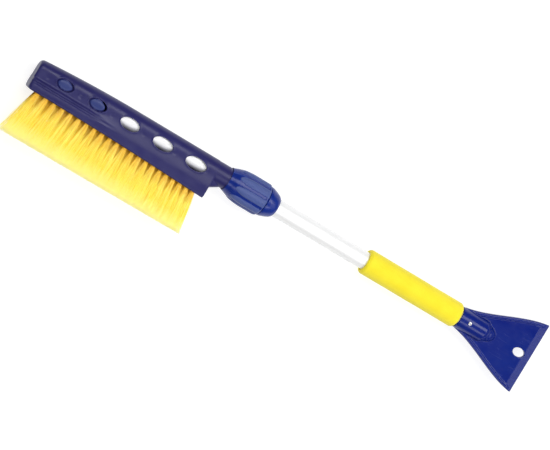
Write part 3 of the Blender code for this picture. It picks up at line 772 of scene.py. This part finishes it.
def head_shell(finish):
    """The hollow moulding: spine, windows with lips, ridged bristle block and neck."""
    stations = []
    for i in range(7):
        angle = math.pi / 2 * i / 6
        stations.append((
            HEAD_END_ROUND * (1 - math.cos(angle)),
            HEAD_END_ROUND * 0.62 * (1 - math.sin(angle)),
        ))
    stations += [(x * MM, 0) for x in range(8, 262, 4)]
    stations += [(HEAD_LENGTH - 1.2 * MM, 0), (HEAD_LENGTH - 0.3 * MM, 0.4 * MM), (HEAD_LENGTH, 1.0 * MM)]
    shell = object_from("head_shell", loft([head_section(x, inset) for x, inset in stations]), finish)

    inside = HEAD_LENGTH - 10 * MM
    neck = turned([
        (inside, 0),
        (inside, NECK_RADIUS),
        (NUT_START - 2 * MM, NECK_RADIUS),
        (NUT_START + 1 * MM, NECK_RADIUS - 0.3 * MM),
        (NECK_END, NECK_RADIUS - 0.3 * MM),
        (NECK_END, 0),
    ])
    combine(shell, neck, "UNION", "neck")
    gusset = loft([
        [
            (x, 0, -half),
            (x, low + GUSSET_CORNER, -half),
            (x, low, -half + GUSSET_CORNER),
            (x, low, half - GUSSET_CORNER),
            (x, low + GUSSET_CORNER, half),
            (x, 0, half),
        ]
        for x, low, half in GUSSET
    ])
    combine(shell, gusset, "UNION", "gusset")
    lips = merged([window_lip(index) for index in range(WINDOW_COUNT)])
    combine(shell, lips, "UNION", "window_lips")
    recesses = [blind_window(index) for index in range(BLIND_WINDOWS)]
    for index in range(WINDOW_COUNT + 1):
        x = WINDOW_FIRST + WINDOW_PITCH * (index - 0.5)
        face = spine_side(x, MARK_LEVEL)
        depth = DEEP_MARK_DEPTH if index == DEEP_MARK else MARK_DEPTH
        recesses.append(oval_prism(x, MARK_LEVEL, MARK_WIDTH, MARK_WIDTH, face - depth, face + 3 * MM, 24))
    combine(shell, merged(recesses), "DIFFERENCE", "recesses")
    combine(shell, tuft_holes(), "DIFFERENCE", "tuft_holes")
    mould(shell, HEAD_VOXEL)

    bore = turned([
        (BORE_START, 0),
        (BORE_START, BORE_RADIUS),
        (NECK_END + 5 * MM, BORE_RADIUS),
        (NECK_END + 5 * MM, 0),
    ])
    combine(shell, bore, "DIFFERENCE", "bore")
    windows = [oval_prism(*window_place(i), 2 * MM, 25 * MM) for i in range(BLIND_WINDOWS, WINDOW_COUNT)]
    combine(shell, merged(windows), "DIFFERENCE", "windows")
    bake_modifiers(shell)
    shell.data.shade_smooth()
    shell.data.set_sharp_from_angle(angle=math.radians(50))
    # The dome mask that carries the painted highlight.
    domes = shell.data.attributes.new("dome", "FLOAT", "POINT").data
    for vert in shell.data.vertices:
        domes[vert.index].value = dome_share(vert.co - ORIGIN)
    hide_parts("head_body")
    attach(shell, "brush_head")


# ---------------------------------------------------------------- bristles


def tip_x(index):
    ends = tuft_x(0) - TUFT_PITCH / 2, tuft_x(TUFTS - 1) + TUFT_PITCH / 2
    share = (tuft_x(index) - ends[0]) / (ends[1] - ends[0])
    return mix(TIP_FREE_END, TIP_HANDLE_END, share)


def strand_paths(row, draw):
    """Centre points of every filament in a row, as an array of strands by steps by 3."""
    z_row = ROW_OFFSETS[row]
    steps = np.linspace(0, 1, STRAND_STEPS + 1)
    paths = []
    for index in row_indices(row):
        x = tuft_x(index)
        low = block_low(x)
        half_pitch = (tip_x(index + 0.5) - tip_x(index - 0.5)) / 2
        reach = np.sqrt(draw.uniform(0, 1, STRANDS_PER_TUFT))
        turn = draw.uniform(0, math.tau, STRANDS_PER_TUFT)
        out_x, out_z = reach * np.cos(turn), reach * np.sin(turn)
        root = np.stack([
            x + out_x * TUFT_ROOT_RADIUS,
            np.full(STRANDS_PER_TUFT, low + 3 * MM),
            z_row + out_z * TUFT_ROOT_RADIUS,
        ], 1)
        scatter = draw.normal(0, 1, (STRANDS_PER_TUFT, 3))
        tip = np.stack([
            tip_x(index) + out_x * half_pitch * TIP_OVERLAP + scatter[:, 0] * TIP_SCATTER[0],
            TIP_LEVEL + 1.0 * MM + np.abs(scatter[:, 1]) * TIP_SCATTER[1],
            z_row * TIP_SPREAD + out_z * ROW_HALF_AT_TIP * 0.9 + scatter[:, 2] * TIP_SCATTER[2],
        ], 1)
        tip[:, 0] = np.clip(tip[:, 0], TIP_FREE_END - 2 * MM, TIP_HANDLE_END + 2 * MM)
        bow = draw.normal(0, 1, (STRANDS_PER_TUFT, 3)) * STRAND_BOW
        fan = steps**FAN_POWER
        path = root[:, None] + (tip - root)[:, None] * np.stack([fan, steps, fan], 1)[None]
        path += bow[:, None] * np.sin(math.pi * steps)[None, :, None]
        waves = draw.uniform(0, math.tau, (STRANDS_PER_TUFT, 1, 2))
        ripple = np.sin(steps[None, :, None] * RIPPLE_RATE + waves) * RIPPLE * steps[None, :, None]
        path[:, :, 0] += ripple[:, :, 0]
        path[:, :, 2] += ripple[:, :, 1]
        paths.append(path)
    return np.concatenate(paths)


def bristle_row(row, finish):
    """Every filament of a row as a thin tapered rod, with its own shade stored on it."""
    draw = np.random.default_rng(SEED + row)
    paths = strand_paths(row, draw)
    strands, points = paths.shape[:2]
    radius = STRAND_RADIUS * (1 - 0.35 * np.linspace(0, 1, points) ** 2)
    around = math.tau * (np.arange(STRAND_SIDES) + 0.5) / STRAND_SIDES
    ring = np.stack([np.cos(around), np.zeros(STRAND_SIDES), np.sin(around)], 1)
    verts = paths[:, :, None, :] + ring[None, None] * radius[None, :, None, None]
    verts = verts.reshape(-1, 3) + np.array(ORIGIN)
    level = np.arange(points - 1)[:, None] * STRAND_SIDES
    side = np.arange(STRAND_SIDES)[None]
    after = (side + 1) % STRAND_SIDES
    lower, lower_after = level + side, level + after
    quads = np.stack([lower, lower_after, lower_after + STRAND_SIDES, lower + STRAND_SIDES], -1)
    ends = np.array([np.arange(STRAND_SIDES)[::-1], (points - 1) * STRAND_SIDES + np.arange(STRAND_SIDES)])
    faces = np.concatenate([quads.reshape(-1, STRAND_SIDES), ends])
    first_vert = np.arange(strands)[:, None, None] * points * STRAND_SIDES
    faces = (faces[None] + first_vert).reshape(-1, STRAND_SIDES)
    mesh = bpy.data.meshes.new(f"bristles_{row + 1}")
    mesh.from_pydata(verts.tolist(), [], faces[:, ::-1].tolist())
    mesh.shade_smooth()
    shade = np.repeat(draw.uniform(0, 1, strands), points * STRAND_SIDES)
    along = np.tile(np.repeat(np.linspace(0, 1, points), STRAND_SIDES), strands)
    # Painted light: the outside rows glow down to the root and the inside rows only further out, so the
    # gaps between tufts stay dark.
    root_painted_glow = ROOT_PAINTED_GLOW_OUTSIDE if row in OUTSIDE_ROWS else ROOT_PAINTED_GLOW_INSIDE
    painted_glow = root_painted_glow + (1 - root_painted_glow) * smoothstep((along - 0.1) / 0.5)
    for name, values in (("strand", shade), ("along", along), ("painted_glow", painted_glow)):
        mesh.attributes.new(name, "FLOAT", "POINT").data.foreach_set("value", values.astype(np.float32))
    mesh.materials.append(finish)
    made = bpy.data.objects.new(mesh.name, mesh)
    bpy.context.scene.collection.objects.link(made)
    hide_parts(f"bristle_row_{row + 1}")
    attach(made, "brush_head")


# ---------------------------------------------------------------- twist nut


def from_pad_centre(angle):
    """Angle to the middle of the nearest grip pad."""
    pitch = math.tau / NUT_LOBES
    return abs((angle - NUT_FIRST_GROOVE) % pitch - pitch / 2)


def pad_share(x, angle):
    """1 on the nut's raised grip pads and 0 between them. Each pad starts as an arch."""
    off_centre = from_pad_centre(angle)
    if x <= PAD_START:
        return 0.0
    opening = min(1.0, (x - PAD_START) / PAD_ARCH)
    half = PAD_HALF_ANGLE * math.sqrt(1 - (1 - opening) ** 2)
    return float(smoothstep((half - off_centre) * NUT_RADIUS / PAD_EDGE + 0.3))


def nut_skin(x, radius, angle):
    """Sinks the gaps between the grip pads and raises fine ribs on the pads."""
    if radius <= NUT_COUNTERBORE:
        return radius
    share = pad_share(x, angle)
    sunk = PAD_HEIGHT * float(smoothstep((x - PAD_START + 4 * MM) / (14 * MM)))
    ribs = RIB_HEIGHT * (0.5 + 0.5 * math.cos(PAD_RIBS * (angle - NUT_FIRST_GROOVE)))
    tail = float(smoothstep((NUT_END - 1.5 * MM - x) / (2.5 * MM)))
    crown = PAD_CROWN * (from_pad_centre(angle) / PAD_HALF_ANGLE) ** 2
    return radius - (sunk * (1 - share) + (ribs + crown * sunk / PAD_HEIGHT) * share) * tail


def lock_nut(finish):
    outline = curve_points([
        (NUT_START, 15.9 * MM),
        (NUT_START + 4.6 * MM, 17.4 * MM),
        (NUT_START + 12.5 * MM, 20.5 * MM),
        (NUT_START + 20 * MM, 22.1 * MM),
        (NUT_START + 29 * MM, NUT_RADIUS),
        (NUT_START + 40 * MM, NUT_RADIUS),
        (NUT_END - 5 * MM, NUT_RADIUS),
        (NUT_END - 2 * MM, 22.2 * MM),
        (NUT_END, 20.4 * MM),
    ])
    xs, radii = zip(*outline)
    count = 110
    outside = [mix(NUT_START, NUT_END, i / count) for i in range(count + 1)]
    outside = [(x, float(np.interp(x, xs, radii))) for x in outside]
    inside = [
        (NUT_END, NUT_COUNTERBORE),
        (NUT_END - 4.8 * MM, NUT_COUNTERBORE),
        (NUT_END - 4.8 * MM, NUT_THROAT),
        (NUT_END - 5.8 * MM, NUT_THROAT),
        (NUT_END - 18.8 * MM, NUT_BORE),
        (NUT_START + 0.8 * MM, NUT_BORE),
        (NUT_START + 0.2 * MM, NUT_BORE + 0.2 * MM),
    ]
    nut = object_from("twist_nut", turned(outside + inside, NUT_LOBES * 60, nut_skin), finish)
    nut.data.set_sharp_from_angle(angle=math.radians(50))
    pads = nut.data.attributes.new("pad", "FLOAT", "POINT").data
    for vert in nut.data.vertices:
        x, y, z = vert.co - ORIGIN
        pads[vert.index].value = pad_share(x, math.atan2(y, z) % math.tau)
    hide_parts("lock_nut")
    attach(nut, "twist_nut")


def nut_nose(finish):
    outline = curve_points([
        (NOSE_START + 0.7 * MM, 20.5 * MM),
        (NOSE_START + 4.2 * MM, 20.0 * MM),
        (NOSE_START + 10.4 * MM, 17.9 * MM),
        (NOSE_START + 14.6 * MM, 16.0 * MM),
        (NOSE_START + 17.0 * MM, 14.2 * MM),
        (NOSE_END, 13.1 * MM),
    ])
    profile = [(NOSE_START, 19.4 * MM), (NOSE_START + 0.2 * MM, 20.1 * MM), *outline, (NOSE_END, NOSE_BORE)]
    profile += [
        (NOSE_START + 10.2 * MM, NOSE_BORE),
        (NOSE_START + 10.2 * MM, 14.9 * MM),
        (NOSE_START + 6.2 * MM, 14.9 * MM),
        (NOSE_START + 6.2 * MM, NOSE_BORE),
        (NOSE_START, NOSE_BORE),
        (NOSE_START, 13.9 * MM),
        (NOSE_START - 4.8 * MM, 13.9 * MM),
        (NOSE_START - 4.8 * MM, NUT_COUNTERBORE - 0.3 * MM),
        (NOSE_START, NUT_COUNTERBORE - 0.3 * MM),
    ]
    nose = object_from("nut_front_ring", turned(profile, 128), finish)
    nose.data.set_sharp_from_angle(angle=math.radians(40))
    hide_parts("nut_nose")
    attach(nose, "twist_nut")


# ---------------------------------------------------------------- handle


def handle_tube(finish):
    bevel = 0.3 * MM
    tube = object_from("handle_tube", turned([
        (TUBE_START, TUBE_RADIUS - TUBE_WALL),
        (TUBE_START, TUBE_RADIUS - bevel),
        (TUBE_START + bevel, TUBE_RADIUS),
        (TUBE_END - bevel, TUBE_RADIUS),
        (TUBE_END, TUBE_RADIUS - bevel),
        (TUBE_END, TUBE_RADIUS - TUBE_WALL),
    ], 128), finish)
    tube.data.set_sharp_from_angle(angle=math.radians(40))
    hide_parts("tube")
    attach(tube, "handle")


def grip_sleeve(finish):
    """The foam sleeve: rounded ends and a skin that isn't quite true."""
    steps = 10
    fillet_centre = (GRIP_START + GRIP_END_ROUND, GRIP_RADIUS - GRIP_END_ROUND)
    start = [
        (x, r)
        for x, r in arc(fillet_centre, GRIP_END_ROUND, 180, 90, steps)
        if r > SLIP_RADIUS + 1.5 * MM
    ]
    end = [(GRIP_START + GRIP_END - x, r) for x, r in reversed(start)]
    middle = [(mix(start[-1][0], end[0][0], i / 90), GRIP_RADIUS) for i in range(1, 90)]
    waver = np.random.default_rng(SEED).uniform(0, math.tau, 4)

    def soft(x, radius, angle):
        if radius <= SLIP_RADIUS:
            return radius
        sway = math.sin(x * 95 + waver[0]) * math.sin(angle * 2 + waver[1])
        sway += 0.6 * math.sin(x * 210 + waver[2]) * math.sin(angle * 3 + waver[3])
        return radius + 0.09 * MM * sway - 0.08 * MM

    dish = (GRIP_START + 4.2 * MM, SLIP_RADIUS)
    profile = [dish, *start, *middle, *end, (end[-1][0] - 0.3 * MM, SLIP_RADIUS)]
    grip = object_from("grip_sleeve", turned(profile, 128, soft), finish)
    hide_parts("foam_grip")
    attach(grip, "handle")


# ---------------------------------------------------------------- scraper


def blade_half_width(x):
    u = (x - SOCKET_START) / (TOTAL_LENGTH - SOCKET_START)
    return mix(SOCKET_RADIUS, BLADE_HALF_WIDTH, 0.6 * float(smoothstep(u)) + 0.4 * u)


def blade_section(x):
    past_crease = max(0.0, (x - CREASE) / (TOTAL_LENGTH - CREASE))
    climb = max(0.0, 1 - abs(x - CREASE) / CREASE_RUN) ** 2 if x < CREASE else 1 - past_crease
    web = mix(BLADE_HALF_THICKNESS, EDGE_HALF_THICKNESS, past_crease) + CREASE_HEIGHT * climb
    fade = float(smoothstep((TOTAL_LENGTH - x) / (TOTAL_LENGTH - CREASE) - 0.25))
    rim = mix(web + 0.05 * MM, RIM_HALF_THICKNESS, fade)
    width = blade_half_width(x)
    quarter = [
        (width, rim * 0.5),
        (width - 0.8 * MM, rim * 0.92),
        (width - 1.8 * MM, rim),
        (width - RIM_WIDTH + 0.6 * MM, rim),
        (width - RIM_WIDTH - 0.8 * MM, web),
    ]
    front = quarter + [(-y, z) for y, z in reversed(quarter)]
    return [(x, y, z) for y, z in front] + [(x, y, -z) for y, z in reversed(front)]


def fan_scraper(finish):
    """Socket, fan blade with rims, bevelled edge and hanging hole, in one moulding."""
    stations = [mix(BLADE_START, CREASE, i / 60) for i in range(61)]
    stations += [mix(CREASE, TOTAL_LENGTH, i / 6) for i in range(1, 7)]
    blade = object_from("fan_scraper", loft([blade_section(x) for x in stations]), finish)
    shoulder = TUBE_END
    profile = [
        (SOCKET_START, 0),
        (SOCKET_START, SOCKET_RADIUS - 0.5 * MM),
        (SOCKET_START + 0.6 * MM, SOCKET_RADIUS),
        (shoulder - 4 * MM, SOCKET_RADIUS),
    ]
    profile += curve_points([
        (shoulder - 3 * MM, SOCKET_RADIUS - 0.1 * MM),
        (shoulder, SOCKET_RADIUS - 1.4 * MM),
        (shoulder + 2.5 * MM, 11.9 * MM),
        (shoulder + 4 * MM, 11.0 * MM),
        (shoulder + 8 * MM, 9.9 * MM),
        (shoulder + 12 * MM, 7.6 * MM),
        (shoulder + 15 * MM, 4.6 * MM),
        (shoulder + 16.3 * MM, 1.5 * MM),
    ], 4)
    profile += [(shoulder + 16.5 * MM, 0)]
    combine(blade, turned(profile), "UNION", "socket")
    bore = turned([
        (SOCKET_START - 5 * MM, 0),
        (SOCKET_START - 5 * MM, SLIP_RADIUS),
        (TUBE_END + 1 * MM, SLIP_RADIUS),
        (TUBE_END + 1 * MM, 0),
    ])
    combine(blade, bore, "DIFFERENCE", "socket_bore")
    hole = oval_prism(HANG_HOLE_X, 0, HANG_HOLE_LENGTH, HANG_HOLE_WIDTH, -10 * MM, 10 * MM)
    combine(blade, hole, "DIFFERENCE", "hanging_hole")
    mould(blade, SCRAPER_VOXEL)
    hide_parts("scraper")
    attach(blade, "handle")


def rivet_head(side, label, finish):
    """A domed rivet with the hollow that its pin stands in."""
    base = SOCKET_RADIUS - 0.2 * MM
    bm = turned([
        (9.0 * MM, 1.1 * MM),
        (9.0 * MM, 1.55 * MM),
        (base, 1.55 * MM),
        (base, 2.8 * MM),
        (base + 0.5 * MM, 2.75 * MM),
        (base + 1.1 * MM, 2.3 * MM),
        (base + 1.45 * MM, 1.6 * MM),
        (base + 1.5 * MM, 1.25 * MM),
        (base + 1.3 * MM, 1.1 * MM),
    ], 48)
    for vert in bm.verts:
        height, y, x = vert.co
        vert.co = (RIVET_X + x, y, side * height)
    rivet = object_from(f"rivet_dome_{label}", bm, finish)
    rivet.data.set_sharp_from_angle(angle=math.radians(40))
    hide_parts(f"rivet_{label}")
    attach(rivet, "handle")


# ---------------------------------------------------------------- stage


def white_floor():
    floor_bm = bmesh.new()
    bmesh.ops.create_grid(floor_bm, x_segments=1, y_segments=1, size=6)
    floor_mesh = bpy.data.meshes.new("floor")
    floor_bm.to_mesh(floor_mesh)
    floor_bm.free()
    floor = bpy.data.objects.new("floor", floor_mesh)
    floor.location.z = -0.0005
    bpy.context.scene.collection.objects.link(floor)
    paper = Finish("floor_paper", 0.9, Specular_IOR_Level=0.1, Emission_Strength=FLOOR_GLOW)
    paper.shader.inputs["Emission Color"].default_value = (1, 1, 1, 1)
    shades = [(0.3, (0.32, 0.32, 0.32)), (0.7, (0.34, 0.34, 0.34))]
    paper.set("Base Color", paper.ramp(paper.noise(3, 2), shades))
    floor.data.materials.append(paper.material)


def softbox(name, place, size, power):
    """An area light with its width along the broom, turned down towards the broom's line."""
    data = bpy.data.lights.new(name, "AREA")
    data.shape = "RECTANGLE"
    data.size, data.size_y = size
    data.energy = power
    lamp = bpy.data.objects.new(name, data)
    lamp.location = place
    lamp.rotation_euler = (-math.atan2(place[1], place[2]), 0, 0)
    bpy.context.scene.collection.objects.link(lamp)


def stage():
    """Pale floor, soft studio light and a camera that looks down on the broom as it lies."""
    white_floor()
    world = bpy.data.worlds.new("studio")
    world.use_nodes = True
    background = world.node_tree.nodes["Background"]
    background.inputs["Color"].default_value = (1.0, 1.0, 1.0, 1)
    background.inputs["Strength"].default_value = WORLD_LIGHT
    bpy.context.scene.world = world
    bpy.context.scene.view_settings.view_transform = "Standard"
    for name, place, size, power in SOFTBOXES:
        softbox(name, place, size, power)

    target = ORIGIN + Vector((AIM_ALONG, 0, 0))
    back = Vector((
        -math.sin(LEAN_TO_BRUSH),
        math.sin(LEAN_TO_SPINE) * math.cos(LEAN_TO_BRUSH),
        math.cos(LEAN_TO_SPINE) * math.cos(LEAN_TO_BRUSH),
    )).normalized()
    along = (Vector((1, 0, 0)) - back * back.x).normalized()
    across = back.cross(along)
    right = along * math.cos(CAMERA_ROLL) + across * math.sin(CAMERA_ROLL)
    up = across * math.cos(CAMERA_ROLL) - along * math.sin(CAMERA_ROLL)
    data = bpy.data.cameras.new("camera")
    data.sensor_width = 36
    data.lens = data.sensor_width * CAMERA_DISTANCE / VIEW_WIDTH
    data.clip_end = 50
    camera = bpy.data.objects.new("camera", data)
    place = target + back * CAMERA_DISTANCE - right * AIM_RIGHT - up * AIM_UP
    turn = Matrix((right, up, back)).transposed().to_4x4()
    camera.matrix_world = Matrix.Translation(place) @ turn
    bpy.context.scene.collection.objects.link(camera)
    bpy.context.scene.camera = camera


# ---------------------------------------------------------------- everything together

head_plastic = head_plastic_with_recesses().material
nut_plastic = nut_plastic_with_pads().material
scraper_plastic = moulded_plastic("scraper_plastic", SCRAPER_COLOR, SCRAPER_WORN, 0.22, 0.1).material
inner_plastic = hidden_plastic()
pin_steel = bright_metal("rivet_pin_steel", (0.42, 0.42, 0.43), (0.6, 0.6, 0.6), 0.32)
rivet_metal = bright_metal("rivet_metal", (0.74, 0.74, 0.75), (0.9, 0.9, 0.9), 0.24)

head_shell(head_plastic)
fibre = bristle_fibre()
for row in range(len(ROW_OFFSETS)):
    bristle_row(row, fibre)
lock_nut(nut_plastic)
nut_nose(nut_plastic)
handle_tube(tube_aluminium())
grip_sleeve(grip_foam())
fan_scraper(scraper_plastic)
for side, label in ((1, "front"), (-1, "back")):
    rivet_head(side, label, rivet_metal)

carried_over = {
    "neck_bush": inner_plastic,
    "collet": inner_plastic,
    "guide_bush": inner_plastic,
    "tube_plug": inner_plastic,
    "scraper_plug": inner_plastic,
    "wiper_seal": seal_rubber(),
    "rivet_pin_front": pin_steel,
    "rivet_pin_back": pin_steel,
}
for node, finish in carried_over.items():
    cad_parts[node].data.materials.clear()
    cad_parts[node].data.materials.append(finish)

stage()
